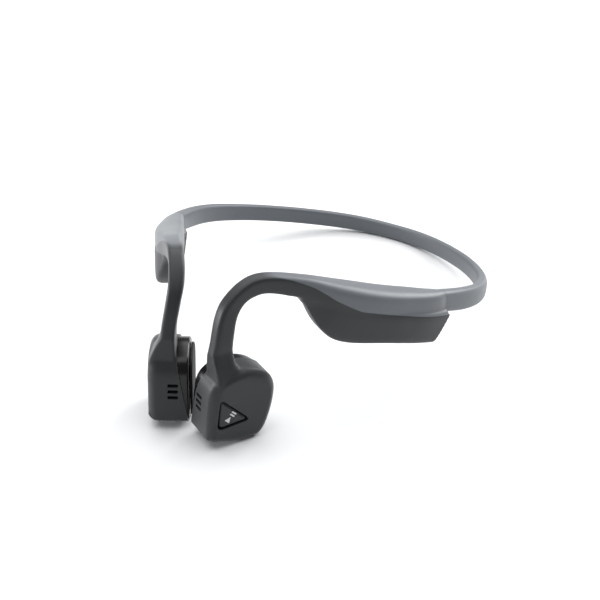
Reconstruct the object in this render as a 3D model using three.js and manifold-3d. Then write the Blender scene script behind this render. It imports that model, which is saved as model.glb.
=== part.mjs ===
// Bone conduction headphones: a sprung neckband, two ear hooks, a battery box and a control box behind the
// ears, and a transducer pod in front of each ear. They stand on the two pods and the back of the band.
//
// Millimetres. +Z is up, -Y is the front with the pods, +Y the back of the neck and +X the wearer's left.
// "Run" is the distance along the loop's plan line from the front of the left arm, "lateral" is measured
// outwards from that line, and "height" is Z. Each arm is drawn for the left side and mirrored for the right.

import * as THREE from 'three';
import { mergeVertices } from 'three/addons/utils/BufferGeometryUtils.js';
import Module from 'manifold-3d';

const wasm = await Module();
wasm.setup();

// ---------------------------------------------------------------- driving dimensions

// Plan line of the left half of the loop, front to back centre, as [x, y].
const LOOP_LEFT = [
  [6.1, 1.6], [9.5, 8.0], [16.1, 18.8], [25.6, 32.8], [35.8, 47.5], [42.8, 60.8], [46.9, 80.3],
  [43.2, 98.3], [31.7, 116.3], [15.7, 128.2], [0, 131.7],
];

const GAP = 0.3;            // between pieces that touch
const ORIGIN_Y = 65.56;     // the middle of the object's length, measured on the plan line's Y

// Neckband: [run, height of its lower edge, height of its upper edge].
const BAND_EDGES = [
  [60, 23.8, 29.9], [70.3, 20.4, 26.6], [80, 17.0, 23.5], [92, 13.5, 19.7], [112, 8.0, 13.7],
  [137, 2.6, 8.1], [167, 0, 5.2],
];
// Lateral faces of the band: [run, inner face, outer face].
const BAND_WIDTHS = [[60, -2.1, 2.4], [70.3, -1.9, 2.2], [80, -1.7, 1.9], [95, -1.6, 1.6], [170, -1.6, 1.6]];
const SEAM_RUN = 70.3;      // where the ear hook's strip meets the sleeve
const HINGE_RUN = 126;      // where the band flexes as an arm is pulled outwards
const HINGE_CLEARANCE = 0.8; // kept free on each side of the flexing point

// Ear hook and strip, side view: [run, height] of the front and top edge, and of the rear and lower edge.
const HOOK_TOP = [
  [0.4, 27.3], [2.3, 34.1], [4.9, 38.6], [9.9, 42.7], [15.5, 43.8], [25.6, 41.6], [36.4, 37.7],
  [47.4, 33.8], [59.2, 30.0], [70, 26.7],
];
const HOOK_UNDER = [
  [5.9, 27.3], [7.4, 33.8], [9.6, 37.2], [12.4, 38.7], [16.2, 38.9], [24.1, 36.4], [34.5, 32.3],
  [45.6, 28.6], [57.6, 24.6], [70, 20.5],
];
// Lateral faces of the hook along its length: [share of length, inner face, outer face].
const HOOK_WIDTHS = [
  [0, -1.8, 1.9], [0.11, -2.8, 1.0], [0.22, -3.5, 0.5], [0.44, -3.1, 1.2], [0.56, -2.3, 2.6],
  [0.67, -3.1, 4.4], [0.78, -3.4, 4.8], [0.89, -3.4, 3.8], [0.96, -2.6, 2.8], [1, -1.9, 2.2],
];

// Box under the strip, side view, and its lateral faces: [share of length, inner face, outer face].
const BOX_TOP = [[25.9, 35.2], [34.4, 31.9], [45.5, 28.2], [57.5, 24.3], [71.1, 20.1]];
const BOX_BOTTOM = [[25.8, 34.1], [30.2, 26.1], [36.4, 21.5], [50.5, 17.6], [65.9, 12.7]];
const BOX_WIDTHS = [[0, -2.0, 2.2], [0.25, -2.7, 4.3], [0.5, -3.4, 4.9], [0.8, -3.4, 4.6], [1, -2.9, 3.5]];
const BOX_WALL = 1.1;
const BOX_CAVITY = [0.24, 0.93]; // the hollow's share of the box's length

// Pod in its own frame: [rearwards, height] of its side outline, without the neck.
const POD_RUN = 7;          // the pod's frame stands on the plan line at this run
const POD_OUTLINE = [
  [-9.5, 4.0], [-9.0, 2.7], [-7.6, 1.9], [-4.0, 0.8], [0.2, 0], [4.4, 0], [6.2, 1.1], [7.7, 3.6],
  [9.0, 8.0], [9.6, 12.0], [9.4, 15.0], [8.0, 17.8], [5.0, 20.1], [1.4, 21.4], [-2.4, 21.3], [-6.2, 20.1],
  [-8.5, 17.2], [-9.3, 12.0],
];
const POD_OUTER = 5.4;      // lateral of the outer face
const POD_WALL = 1.3;
const POD_EDGE = 1.9;       // rounding of the outer face's edge
const RIM_AT_GROUND = -5.4; // lateral of the shell's slanted rim at height 0
const RIM_SLOPE = 0.183;    // how much further out the rim is for each millimetre of height
const RIM_TOP = 21.8;       // above this height the neck isn't cut by the rim

// Neck between the pod and the ear hook: [run, height] of its front and rear edge, then its lateral faces.
const NECK_FRONT = [[-2.4, 12.6], [-2.0, 18.6], [-1.0, 23.0], [0.32, 27.0]];
const NECK_REAR = [[11.5, 14.5], [8.0, 19.6], [6.2, 23.0], [5.85, 27.0]];
const NECK_WIDTHS = [[0, -2.4, 5.4], [0.3, -2.0, 5.1], [0.62, -1.8, 3.7], [1, -1.8, 1.9]];

// Front slots.
const SLOT_COUNT = 3;
const SLOT_HEIGHT = 11.9;   // of the middle slot
const SLOT_PITCH = 1.72;
const SLOT_SIZE = [2.65, 0.95];
const SLOT_LATERAL = -1.0;

// Multifunction button, side view in the pod's frame.
const BUTTON_CORNERS = [[-6.6, 15.8], [2.2, 6.7], [-7.5, 6.1]];
const BUTTON_ROUNDING = 2.0; // of the opening's corners
const CAP_ROUNDING = 1.3;   // of the button's
const BUTTON_CENTRE = [-3.7, 9.4];
const BUTTON_MARGIN = 0.9;  // between the opening's corners and the button's
const BUTTON_RECESS = 0.2;
const BUTTON_BACK = 3.6;    // lateral of the button's inner face
const DOME_RADIUS = 1.7;
const DOME = [2.8, 3.15];   // laterals of the dome's faces

// Transducer, in its own tilted frame. Its axis meets the rim at this [rearwards, height] of the pod.
const MOTOR_CENTRE = [0.4, 10.8];
const MOTOR_SIDES = 20;
const MOTOR_SLOPE = 0.02;   // how much further out it is for each millimetre of height
const CAPSULE_ROUNDING = 0.5;
const CAPSULE_INSET = 0.5;  // from the pod's outline, like the three below
const LIP_INSET = POD_WALL + GAP;
const LIP_INNER_INSET = POD_WALL + 1.2;
const PAD_INSET = 1.9;
const CAPSULE_WALL = 0.9;
const LIP_DEPTH = 0.9;      // how far the capsule's lip reaches into the shell
const CAPSULE_FACE = -1.6;
const PAD_BACK = -1.9;
const PAD_FACE = -2.5;      // the face that rests on the cheekbone
const BOSS_RADIUS = 1.9;    // of the pad's stem, which carries its movement from the spring plate
const BOSS_END = 0.6;
const BOSS_HOLE = 2.3;      // radius of the holes round it in the capsule and the spring plate
// Round pieces about its axis: [radius, face towards the head, outer face, radius of the hole].
const COIL_FORMER = [5.3, 0.95, 1.4];
const VOICE_COIL = [5.3, 1.7, 4.1, 4.7];
const TOP_PLATE = [4.3, 2.0, 2.7];
const MAGNET = [4.3, 3.0, 4.6];
const SPRING_PLATE = [5.6, 0, 0.3, BOSS_HOLE];
const SPRING_WINDOW_RADIUS = 0.9;
const SPRING_WINDOW_RING = 3.8; // distance of its three windows' centres from the axis
// Profile of the yoke cup: [radius, depth].
const YOKE_PROFILE = [[0, 4.9], [5.6, 4.9], [5.6, 2.0], [6.4, 2.0], [6.4, 5.6], [0, 5.6]];

// Flat pieces in the pod's frame, from their lowest to their highest corner.
const VENT_MESH = [[-2.3, -6.6, 9.0], [0.5, -6.35, 14.4]];
const MICROPHONE = [[-1.5, -6.15, 13.2], [0.3, -5.75, 14.8]];
const BUTTON_BOARD = [[2.4, -6.9, 6.5], [2.65, -1.4, 12.3]];

// Wire and leads.
const WIRE_RADIUS = 0.5;
const LEAD_RADIUS = 0.4;
const BORE_CLEARANCE = 0.25;

// Box frame: the straight stretch that the battery or the board lies along.
const BOX_RUN = 49;
const BOX_HEIGHT = 22.8;
const BOX_SLOPE = 0.29;     // fall for each millimetre rearwards

// Battery, in that frame: the cell's [rearwards, height] corners and laterals, then corner to corner.
const CELL_CORNERS = [[-10.5, -2.8], [9.5, -2.8], [9.5, 2.6], [-10.5, 2.6]];
const CELL_ROUNDING = 0.8;
const CELL_LATERALS = [-2.1, 1.9];
const BATTERY_BOARD = [[-1.8, 9.9, -2.4], [1.6, 10.4, 1.6]];
const BATTERY_FOAM = [[2.2, -9, -2.2], [2.6, 8, 2.2]];
const MAIN_BOARD = [[1.85, -10.8, -2.2], [2.4, 10, 2.2]];
const RADIO_SHIELD = [[0.3, -9, -0.4], [1.55, -1.5, 2.2]];

// Controls on the underside of the control box, in the box's frame: places along it and [length, width].
const UNDERSIDE = -5.1;     // height of the underside in the box's frame
const CONTROL_LATERAL = 0.75;
const VOLUME_RUNS = [-1.2, -8.2];
const VOLUME_SIZE = [5.2, 2.0];
const VOLUME_TRAVEL = 0.3;
const LAMP_REAR = -12.2;
const LAMP_SIZE = 1.2;
const SOCKET_REAR = 7.0;
const PORT_SIZE = [7.4, 2.4];
const COVER_SIZE = [8.8, 3.4];
const COVER_DEPTH = 0.6;
const BUTTON_PROUD = 0.1;   // how far the volume buttons stand out of the underside
const BUTTON_REACH = 0.35;  // how far they reach past the wall
const SWITCH_GAP = 0.15;    // left between a pressed button and its switch
const SWITCH_SIZE = [1.9, 3.2, 1.1];
const SOCKET_DEPTH = 4.6;
const SOCKET_WALL = 0.35;
const SOCKET_MARGIN = 0.25; // how much smaller its can is than the port, on each side

// ---------------------------------------------------------------- finishes

const finish = (color, roughness, metalness = 0) => () =>
  new THREE.MeshStandardMaterial({ color, roughness, metalness });
const slateRubber = finish(0x5b6064, 0.6);
const charcoalPlastic = finish(0x34373b, 0.55);
const glossBlack = finish(0x111214, 0.15);
const padRubber = finish(0x1b1c1f, 0.7);
const titanium = finish(0x9a9da1, 0.35, 1);
const steel = finish(0xb9bbbe, 0.3, 1);
const copper = finish(0xb06a3b, 0.4, 1);
const board = finish(0x1f5a3a, 0.5);
const foil = finish(0xc4c7ca, 0.4, 0.6);

// ---------------------------------------------------------------- the loop's plan line

const LOOP = new THREE.SplineCurve([
  ...LOOP_LEFT.map(([x, y]) => new THREE.Vector2(x, y)),
  ...LOOP_LEFT.slice(0, -1).reverse().map(([x, y]) => new THREE.Vector2(-x, y)),
]);
LOOP.arcLengthDivisions = 1200;
const LOOP_LENGTH = LOOP.getLength();

/** The plan line's point and direction at a run, extended straight past its ends. */
function planAt(run) {
  const share = THREE.MathUtils.clamp(run / LOOP_LENGTH, 0, 1);
  const along = LOOP.getTangentAt(share);
  const point = LOOP.getPointAt(share).addScaledVector(along, run - share * LOOP_LENGTH);
  return { point, along };
}

/** The place that is that far outwards from the plan line at a run, at a height. */
function place(lateral, run, height) {
  const { point, along } = planAt(run);
  return new THREE.Vector3(point.x + along.y * lateral, point.y - along.x * lateral, height);
}

/** A smooth function of one number through rows of [where, value, value, ...]. */
function through(rows) {
  const size = rows[0].length - 1;
  const places = Float32Array.from(rows, (row) => row[0]);
  const values = Float32Array.from(rows.flatMap((row) => row.slice(1)));
  const interpolant = new THREE.CubicInterpolant(places, values, size, new Float32Array(size));
  return (where) => Array.from(interpolant.evaluate(where));
}

const bandEdges = through(BAND_EDGES);
const bandWidths = through(BAND_WIDTHS);

// ---------------------------------------------------------------- solids

/** The geometry with shared vertices merged, and without the triangles that this leaves with no area. */
function welded(geometry) {
  const bare = geometry.clone();
  bare.deleteAttribute('normal');
  bare.deleteAttribute('uv');
  const merged = mergeVertices(bare, 1e-4);
  const kept = [];
  for (let i = 0; i < merged.index.count; i += 3) {
    const corners = [0, 1, 2].map((k) => merged.index.getX(i + k));
    if (new Set(corners).size === 3) kept.push(...corners);
  }
  return merged.setIndex(kept);
}

/** A closed mesh as a solid that can be cut and joined. */
function solid(geometry) {
  const closed = welded(geometry);
  return new wasm.Manifold(new wasm.Mesh({
    numProp: 3,
    vertProperties: new Float32Array(closed.attributes.position.array),
    triVerts: new Uint32Array(closed.index.array),
  }));
}

/** A solid as a mesh's geometry. */
function surface(body) {
  const mesh = body.getMesh();
  const geometry = new THREE.BufferGeometry();
  geometry.setAttribute('position', new THREE.BufferAttribute(mesh.vertProperties, 3));
  geometry.setIndex(new THREE.BufferAttribute(mesh.triVerts, 1));
  return geometry;
}

const cut = (from, ...tools) => tools.reduce((body, tool) => body.subtract(tool), from);

/** The geometry seen in a mirror on the plane x = 0, still facing outwards. */
function mirrored(geometry) {
  const copy = geometry.clone().scale(-1, 1, 1);
  const { index } = copy;
  for (let i = 0; i < index.count; i += 3) {
    const first = index.getX(i);
    index.setX(i, index.getX(i + 1));
    index.setX(i + 1, first);
  }
  return copy;
}

/**
 * A closed loft along the loop. section(share) gives its lower and upper edge as [run, height], and its
 * inner and outer lateral face. squareness 2 is an ellipse, and a higher one is nearer a rectangle.
 */
function loft(section, steps, sides, squareness) {
  const geometry = new THREE.CylinderGeometry(1, 1, 1, sides, steps);
  const position = geometry.attributes.position;
  const bulge = (value) => Math.sign(value) * Math.max(Math.abs(value) - 1e-9, 0) ** (2 / squareness);
  for (let i = 0; i < position.count; i += 1) {
    const x = position.getX(i);
    const z = position.getZ(i);
    const reach = Math.hypot(x, z);
    const across = reach > 0.5 ? bulge(x) : 0;
    const up = reach > 0.5 ? bulge(z) : 0;
    const { lower, upper, inner, outer } = section(position.getY(i) + 0.5);
    const rise = (up + 1) / 2;
    const point = place(
      THREE.MathUtils.lerp(inner, outer, (across + 1) / 2),
      THREE.MathUtils.lerp(lower[0], upper[0], rise),
      THREE.MathUtils.lerp(lower[1], upper[1], rise),
    );
    position.setXYZ(i, point.x, point.y, point.z);
  }
  return geometry;
}

/** A round tube through points. */
function tube(points, radius, steps, sides = 6) {
  const circle = new THREE.Shape();
  circle.absarc(0, 0, radius, 0, Math.PI * 2);
  const path = new THREE.CatmullRomCurve3(points);
  return new THREE.ExtrudeGeometry(circle, { steps, extrudePath: path, curveSegments: sides / 2 });
}

// Shapes are drawn as [rearwards, height] and extruded outwards.
const SIDEWAYS = new THREE.Matrix4().makeBasis(
  new THREE.Vector3(0, 1, 0), new THREE.Vector3(0, 0, 1), new THREE.Vector3(1, 0, 0),
);

/** A side-view shape as a slab between two lateral faces, with its edges rounded by round. */
function slab(shape, inner, outer, round = 0, curveSegments = 3) {
  const geometry = new THREE.ExtrudeGeometry(shape, {
    depth: outer - inner - 2 * round,
    bevelEnabled: round > 0,
    bevelThickness: round,
    bevelSize: round,
    bevelOffset: -round,
    bevelSegments: 2,
    curveSegments,
  });
  return geometry.translate(0, 0, inner + round).applyMatrix4(SIDEWAYS);
}

/** A box from its lowest to its highest corner. */
function block([x0, y0, z0], [x1, y1, z1]) {
  const box = new THREE.BoxGeometry(x1 - x0, y1 - y0, z1 - z0);
  return box.translate((x0 + x1) / 2, (y0 + y1) / 2, (z0 + z1) / 2);
}

/** A disc between two laterals, or a ring if it has an inner radius. */
function disc(radius, inner, outer, hole = 0, sides = MOTOR_SIDES) {
  const profile = [[hole, inner], [radius, inner], [radius, outer], [hole, outer]];
  if (hole > 0) profile.push([hole, inner]);
  const points = profile.map(([r, y]) => new THREE.Vector2(r, y));
  return new THREE.LatheGeometry(points, sides).rotateZ(-Math.PI / 2);
}

/** A pill-shaped outline, along its first axis. */
function pill(length, width) {
  const shape = new THREE.Shape();
  const half = (length - width) / 2;
  shape.absarc(half, 0, width / 2, -Math.PI / 2, Math.PI / 2);
  shape.absarc(-half, 0, width / 2, Math.PI / 2, Math.PI * 1.5);
  return shape;
}

/** An outline's points moved straight towards a centre by a distance. */
function inset(points, distance, [x, y] = MOTOR_CENTRE) {
  return points.map((point) => {
    const spoke = new THREE.Vector2(point[0] - x, point[1] - y);
    const kept = 1 - distance / spoke.length();
    return [x + spoke.x * kept, y + spoke.y * kept];
  });
}

const curve = (points) => new THREE.SplineCurve(points.map(([r, h]) => new THREE.Vector2(r, h)));
const outline = (points) => new THREE.Shape(points.map(([x, y]) => new THREE.Vector2(x, y)));

/** A polygon with its corners rounded. */
function roundedPolygon(points, radius) {
  const shape = new THREE.Shape();
  const corners = points.map(([x, y]) => new THREE.Vector2(x, y));
  corners.forEach((corner, i) => {
    const before = corners[(i + corners.length - 1) % corners.length];
    const after = corners[(i + 1) % corners.length];
    const from = before.clone().sub(corner).setLength(radius).add(corner);
    const to = after.clone().sub(corner).setLength(radius).add(corner);
    if (i === 0) shape.moveTo(from.x, from.y);
    else shape.lineTo(from.x, from.y);
    shape.quadraticCurveTo(corner.x, corner.y, to.x, to.y);
  });
  shape.closePath();
  return shape;
}

// ---------------------------------------------------------------- sections

const hookTop = curve(HOOK_TOP);
const hookUnder = curve(HOOK_UNDER);
const hookWidths = through(HOOK_WIDTHS);
const boxTop = curve(BOX_TOP);
const boxBottom = curve(BOX_BOTTOM);
const boxWidths = through(BOX_WIDTHS);

/** A section from one side-view curve to another, between two lateral faces. */
function sectionOn(under, over, share, inner, outer) {
  return { lower: under.getPoint(share).toArray(), upper: over.getPoint(share).toArray(), inner, outer };
}

function hookSection(share) {
  const [inner, outer] = hookWidths(share);
  return sectionOn(hookUnder, hookTop, share, inner, outer);
}

function bandSection(run) {
  const fromNearerEnd = Math.min(run, LOOP_LENGTH - run);
  const [low, high] = bandEdges(fromNearerEnd);
  const [inner, outer] = bandWidths(fromNearerEnd);
  return { lower: [run, low], upper: [run, high], inner, outer };
}

function boxSection(share) {
  const [inner, outer] = boxWidths(share);
  return sectionOn(boxBottom, boxTop, share, inner, outer);
}

/** The box's section with its upper and lower edge moved in, between two lateral faces. */
function boxHollow(share, wall, inner, outer) {
  const { lower, upper } = boxSection(share);
  const height = Math.hypot(upper[0] - lower[0], upper[1] - lower[1]);
  const edge = new THREE.Vector2(...lower).lerp(new THREE.Vector2(...upper), wall / height);
  const top = new THREE.Vector2(...upper).lerp(new THREE.Vector2(...lower), wall / height);
  return { lower: edge.toArray(), upper: top.toArray(), inner, outer };
}

// ---------------------------------------------------------------- wire and leads

/** A point inside the hook: across is from -1, its inner face, to 1. */
function insideHook(share, across) {
  const { lower, upper, inner, outer } = hookSection(share);
  const lateral = (inner + outer) / 2 + across;
  return place(lateral, (lower[0] + upper[0]) / 2, (lower[1] + upper[1]) / 2);
}

/** A point inside the band, above its middle. */
function insideBand(run, above) {
  const { lower, upper } = bandSection(run);
  return place(0, run, (lower[1] + upper[1]) / 2 + above);
}

const WIRE_STEPS = 40;
const HOOK_LEAD_STEPS = 24;
const BAND_LEAD_STEPS = 30;
const REAR_STEPS = 16;
const HOOK_SHARES = [0, 0.1, 0.2, 0.3, 0.4, 0.5, 0.6, 0.7, 0.8, 0.9, 0.97];
const BAND_RUNS = [74, 84, 94, 104, 115];
const IN_HOOK = 0.8;        // how far the wire and the lead lie each side of the hook's middle
const IN_BAND = 0.95;       // and above and below the band's middle
const BOX_EXIT = 0.62;      // share of the hook's length at which its lead turns down into the box
const armEnd = HINGE_RUN - HINGE_CLEARANCE;
const rearEnd = LOOP_LENGTH - HINGE_RUN - HINGE_CLEARANCE;

const neckDrop = new THREE.Vector3(0, 0, -2.2);

/** The wire's points, from inside the pod's neck to the flexing point. */
const wireLine = [
  insideHook(0, -IN_HOOK).add(neckDrop),
  ...HOOK_SHARES.map((share) => insideHook(share, -IN_HOOK)),
  ...BAND_RUNS.map((run) => insideBand(run, IN_BAND)),
  insideBand(armEnd - GAP, IN_BAND),
];

/** The lead from the pod, up the hook and down into the box. */
const hookLeadLine = [
  insideHook(0, IN_HOOK).add(neckDrop),
  ...HOOK_SHARES.filter((share) => share < BOX_EXIT).map((share) => insideHook(share, IN_HOOK)),
  insideHook(BOX_EXIT, IN_HOOK),
  place(0.9, 38.5, 31.5),
  place(0.9, 39.5, 29.4),
];

/** The lead from the box, up into the strip and back along the band. */
const bandLeadLine = [
  place(1.0, 60.8, 20.9),
  place(1.0, 61.6, 22.5),
  place(0.9, 63.4, 24.0),
  place(0.6, 66.6, 24.0),
  place(0.2, 70.5, 22.5),
  ...BAND_RUNS.map((run) => insideBand(run, -IN_BAND)),
  insideBand(armEnd - GAP, -IN_BAND),
];

/** A bore for the wire or lead that follows a line, reaching a little past both of its ends. */
function bore(line, radius, steps) {
  const past = (end, next) => end.clone().sub(next).setLength(1.5).add(end);
  const long = [past(line[0], line[1]), ...line, past(line.at(-1), line.at(-2))];
  return solid(tube(long, radius + BORE_CLEARANCE, steps + 4));
}

const wireBore = bore(wireLine, WIRE_RADIUS, WIRE_STEPS);
const hookLeadBore = bore(hookLeadLine, LEAD_RADIUS, HOOK_LEAD_STEPS);
const bandLeadBore = bore(bandLeadLine, LEAD_RADIUS, BAND_LEAD_STEPS);

// ---------------------------------------------------------------- arm skins

const HOOK_STEPS = 28;
const BAND_STEP = 5.5;
const HOOK_SQUARENESS = 4;
const BAND_SQUARENESS = 3;
const BOX_SQUARENESS = 4.4;
const HOLLOW_SQUARENESS = 5;
const COVER_MARGIN = 0.012; // share of the box's length kept free at each end of its cover
const COVER_THICKNESS = 0.9;
const PAST_HEAD_SIDE = -9;  // a lateral that is surely further towards the head than any skin

function earHook() {
  const body = solid(loft(hookSection, HOOK_STEPS, 12, HOOK_SQUARENESS));
  return surface(cut(body, wireBore, hookLeadBore, bandLeadBore));
}

function sideSleeve() {
  const start = SEAM_RUN + GAP;
  const steps = Math.round((armEnd - start) / BAND_STEP);
  const section = (share) => bandSection(THREE.MathUtils.lerp(start, armEnd, share));
  return surface(cut(solid(loft(section, steps, 12, BAND_SQUARENESS)), wireBore, bandLeadBore));
}

function boxShell(...cutouts) {
  const [from, to] = BOX_CAVITY;
  const hollow = (share) => {
    const at = THREE.MathUtils.lerp(from, to, share);
    const [, outer] = boxWidths(at);
    return boxHollow(at, BOX_WALL, PAST_HEAD_SIDE, outer - BOX_WALL);
  };
  const body = solid(loft(boxSection, 12, 16, BOX_SQUARENESS));
  return cut(body, solid(loft(hollow, 8, 12, HOLLOW_SQUARENESS)), hookLeadBore, bandLeadBore, ...cutouts);
}

function boxCover() {
  const [from, to] = BOX_CAVITY;
  const plate = (share) => {
    const at = THREE.MathUtils.lerp(from + COVER_MARGIN, to - COVER_MARGIN, share);
    const [inner] = boxWidths(at);
    return boxHollow(at, BOX_WALL + GAP, inner, inner + COVER_THICKNESS);
  };
  return loft(plate, 8, 12, HOLLOW_SQUARENESS);
}

// ---------------------------------------------------------------- pod

const podPlan = planAt(POD_RUN);
const podHeading = Math.atan2(podPlan.along.x, podPlan.along.y);

/** A group standing on the plan line at a run, with +X outwards and +Y rearwards. */
function frameAt(side, run, height = 0, slope = 0) {
  const { point, along } = planAt(run);
  const group = new THREE.Group();
  group.position.set(side * point.x, point.y, height);
  group.rotation.set(-Math.atan(slope), 0, -side * Math.atan2(along.x, along.y), 'ZXY');
  return group;
}

const FAR = 30;             // further than any part of a pod is from its transducer's centre

const intoPod = (() => {
  const frame = frameAt(1, POD_RUN);
  frame.updateMatrix();
  return frame.matrix.clone().invert();
})();

/** The frame of the transducer, which meets the shell's slanted rim at its centre. */
function motorFrame() {
  const [rear, height] = MOTOR_CENTRE;
  const group = new THREE.Group();
  group.position.set(RIM_AT_GROUND + RIM_SLOPE * height, rear, height);
  group.rotation.y = Math.atan(MOTOR_SLOPE);
  return group;
}

/** In the transducer's frame, everything further towards the head than a gap off the shell's rim. */
function beyondRim(gap, top = FAR) {
  return block([-FAR, -FAR, -FAR], [-gap, FAR, top]).rotateY(Math.atan(RIM_SLOPE) - Math.atan(MOTOR_SLOPE));
}

const fromMotor = (() => {
  const frame = motorFrame();
  frame.updateMatrix();
  return frame.matrix;
})();

/** The neck, from inside the pod's body up to the ear hook. */
function podNeck() {
  const front = curve(NECK_FRONT);
  const rear = curve(NECK_REAR);
  const widths = through(NECK_WIDTHS);
  const section = (share) => {
    const [inner, outer] = widths(share);
    return sectionOn(rear, front, share, inner, outer);
  };
  return loft(section, 8, 12, HOOK_SQUARENESS).applyMatrix4(intoPod);
}

const buttonHole = roundedPolygon(BUTTON_CORNERS, BUTTON_ROUNDING);
const buttonOutline = inset(BUTTON_CORNERS, BUTTON_MARGIN, BUTTON_CENTRE);

function podShell(hasButton) {
  const body = solid(slab(outline(POD_OUTLINE), PAST_HEAD_SIDE, POD_OUTER, POD_EDGE));
  const inside = outline(inset(POD_OUTLINE, POD_WALL));
  const hollow = solid(slab(inside, PAST_HEAD_SIDE - GAP, POD_OUTER - POD_WALL));
  const headSide = solid(beyondRim(0, RIM_TOP - MOTOR_CENTRE[1]).applyMatrix4(fromMotor));
  const slots = Array.from({ length: SLOT_COUNT }, (_, i) => {
    const height = SLOT_HEIGHT + (i - (SLOT_COUNT - 1) / 2) * SLOT_PITCH;
    const [width, tall] = SLOT_SIZE;
    return solid(block(
      [SLOT_LATERAL - width / 2, -FAR, height - tall / 2],
      [SLOT_LATERAL + width / 2, VENT_MESH[1][1], height + tall / 2],
    ));
  });
  const bores = [wireBore, hookLeadBore].map((tunnel) => solid(surface(tunnel).applyMatrix4(intoPod)));
  const opening = hasButton ? [solid(slab(buttonHole, POD_OUTER - 2 * POD_WALL, FAR))] : [];
  return surface(cut(body.add(solid(podNeck())), hollow, headSide, ...slots, ...bores, ...opening));
}

/** The pod's outline about the transducer's centre, moved inwards by a distance. */
function motorOutline(distance) {
  const [rear, height] = MOTOR_CENTRE;
  return outline(inset(POD_OUTLINE, distance).map(([r, h]) => [r - rear, h - height]));
}

/** The glossy capsule that closes the pod on the head side: a flange, a lip and a central hole. */
function capsule() {
  const whole = slab(motorOutline(CAPSULE_INSET), CAPSULE_FACE, FAR / 2, CAPSULE_ROUNDING);
  const flange = solid(whole).intersect(solid(beyondRim(GAP)));
  const lip = solid(slab(motorOutline(LIP_INSET), CAPSULE_FACE + GAP, LIP_DEPTH));
  const hollow = solid(slab(motorOutline(LIP_INNER_INSET), CAPSULE_FACE + CAPSULE_WALL, FAR));
  return surface(cut(flange.add(lip), hollow, solid(disc(BOSS_HOLE, -FAR, FAR))));
}

function contactPad() {
  const plate = solid(slab(motorOutline(PAD_INSET), PAD_FACE, PAD_BACK, 0.25));
  return surface(plate.add(solid(disc(BOSS_RADIUS, (PAD_FACE + PAD_BACK) / 2, BOSS_END))));
}

function springPlate() {
  const windows = [0, 1, 2].map((i) => {
    const angle = (i * Math.PI * 2) / 3;
    const centre = [SPRING_WINDOW_RING * Math.cos(angle), SPRING_WINDOW_RING * Math.sin(angle)];
    return solid(disc(SPRING_WINDOW_RADIUS, -1, 1, 0, 8).translate(0, ...centre));
  });
  return surface(cut(solid(disc(...SPRING_PLATE)), ...windows));
}

function yokeCup() {
  const profile = YOKE_PROFILE.map(([radius, depth]) => new THREE.Vector2(radius, depth));
  return new THREE.LatheGeometry(profile, MOTOR_SIDES).rotateZ(-Math.PI / 2);
}

/** The transducer's pieces in its own frame, the same on both sides: [name, geometry, finish]. */
const motorPieces = [
  ['capsule', capsule(), glossBlack],
  ['contact_pad', contactPad(), padRubber],
  ['spring_plate', springPlate(), steel],
  ['coil_former', disc(...COIL_FORMER), padRubber],
  ['voice_coil', disc(...VOICE_COIL), copper],
  ['top_plate', disc(...TOP_PLATE), steel],
  ['magnet', disc(...MAGNET), steel],
  ['yoke_cup', yokeCup(), steel],
];

/** The other pieces in each pod: [name, geometry, finish]. */
const podPieces = [
  ['vent_mesh', block(...VENT_MESH), steel],
  ['microphone', block(...MICROPHONE), foil],
];

// ---------------------------------------------------------------- assembly

const headphones = new THREE.Group();
headphones.position.y = -ORIGIN_Y;

/** A frame drawn for the left side, moved to its mirror place for the right. */
function mirroredFrame(frame, side) {
  frame.position.x *= side;
  frame.rotation.y *= side;
  frame.rotation.z *= side;
  return frame;
}

/** Adds a named piece to a group. Right-hand pieces are mirrored. */
function add(parent, side, name, geometry, material) {
  const closed = welded(geometry);
  const mesh = new THREE.Mesh(side > 0 ? closed : mirrored(closed), material());
  mesh.name = name;
  parent.add(mesh);
}

function addNeckband() {
  const start = HINGE_RUN + HINGE_CLEARANCE;
  const steps = Math.round((rearEnd - start) / BAND_STEP);
  const section = (share) => bandSection(THREE.MathUtils.lerp(start, rearEnd, share));
  const line = (above) => Array.from({ length: REAR_STEPS + 1 }, (_, i) =>
    insideBand(THREE.MathUtils.lerp(start + GAP, rearEnd - GAP, i / REAR_STEPS), above));
  const wire = line(IN_BAND);
  const lead = line(-IN_BAND);
  const sleeve = cut(
    solid(loft(section, steps, 12, BAND_SQUARENESS)),
    bore(wire, WIRE_RADIUS, REAR_STEPS),
    bore(lead, LEAD_RADIUS, REAR_STEPS),
  );
  add(headphones, 1, 'neckband_sleeve', surface(sleeve), slateRubber);
  add(headphones, 1, 'frame_wire_rear', tube(wire, WIRE_RADIUS, REAR_STEPS), titanium);
  add(headphones, 1, 'band_lead_rear', tube(lead, LEAD_RADIUS, REAR_STEPS), copper);
}

function addArm(side, hand) {
  add(headphones, side, `ear_hook_${hand}`, earHook(), slateRubber);
  add(headphones, side, `side_sleeve_${hand}`, sideSleeve(), slateRubber);
  add(headphones, side, `frame_wire_${hand}`, tube(wireLine, WIRE_RADIUS, WIRE_STEPS), titanium);
  add(headphones, side, `hook_lead_${hand}`, tube(hookLeadLine, LEAD_RADIUS, HOOK_LEAD_STEPS), copper);
  add(headphones, side, `band_lead_${hand}`, tube(bandLeadLine, LEAD_RADIUS, BAND_LEAD_STEPS), copper);
  const pod = frameAt(side, POD_RUN);
  headphones.add(pod);
  add(pod, side, `pod_shell_${hand}`, podShell(side > 0), charcoalPlastic);
  podPieces.forEach(([name, geometry, material]) => add(pod, side, `${name}_${hand}`, geometry, material));
  const motor = mirroredFrame(motorFrame(), side);
  pod.add(motor);
  motorPieces.forEach(([name, geometry, material]) =>
    add(motor, side, `${name}_${hand}`, geometry, material));
  return pod;
}

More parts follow.
